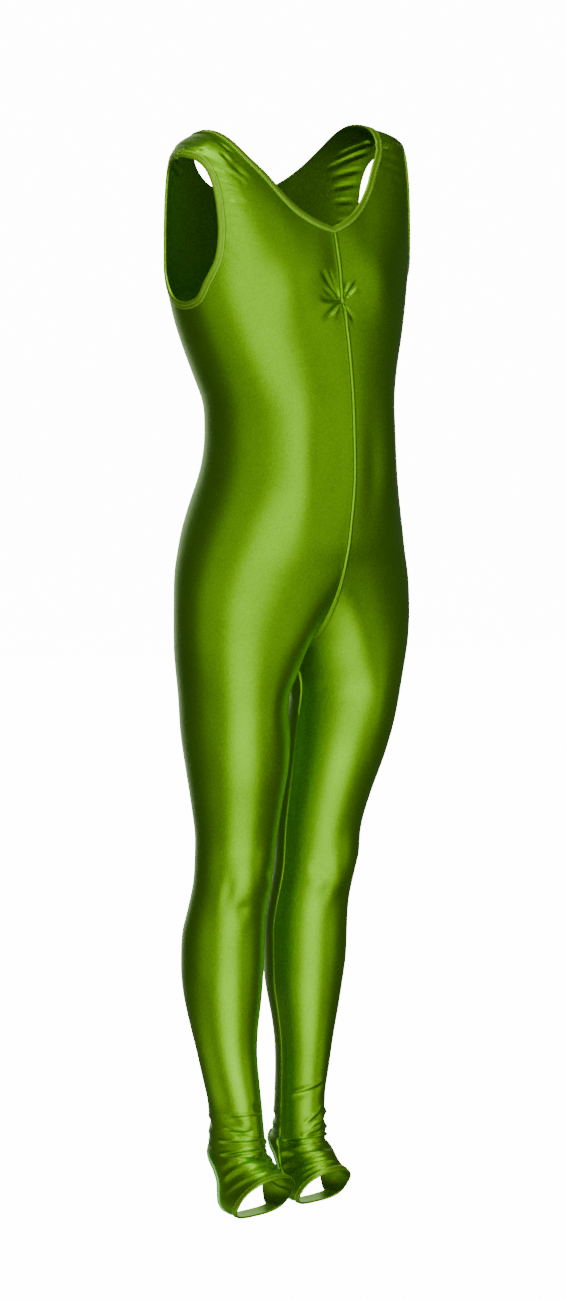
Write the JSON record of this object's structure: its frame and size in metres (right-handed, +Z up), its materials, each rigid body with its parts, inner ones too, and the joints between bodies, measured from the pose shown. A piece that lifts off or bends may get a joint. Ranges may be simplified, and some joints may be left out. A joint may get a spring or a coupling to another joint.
{
  "type": "dance catsuit",
  "caption": "Sleeveless V-neck catsuit in shiny stretch knit with a gathered bust and full legs that end in stirrup feet with open heels and insteps.",
  "frame": {"origin": "midway between the tops of the two shoulder straps, where the wearer's shoulders carry the garment", "axes": "+Z up the body, -Y the way the wearer faces, +X the wearer's left"},
  "size_m": [0.2784, 0.1882, 1.0801],
  "materials": {
    "panels": "satin",
    "bands": "satin",
    "heel_bands": "semi-matt"
  },
  "bodies": {
    "root": {"right_half": "panels", "left_half": "panels", "neck_binding": "bands", "armhole_binding_right": "bands", "armhole_binding_left": "bands", "heel_binding_right": "heel_bands", "heel_binding_left": "heel_bands", "instep_hem_right": "bands", "instep_hem_left": "bands", "front_gather_tack": "bands"}
  },
  "joints": []
}
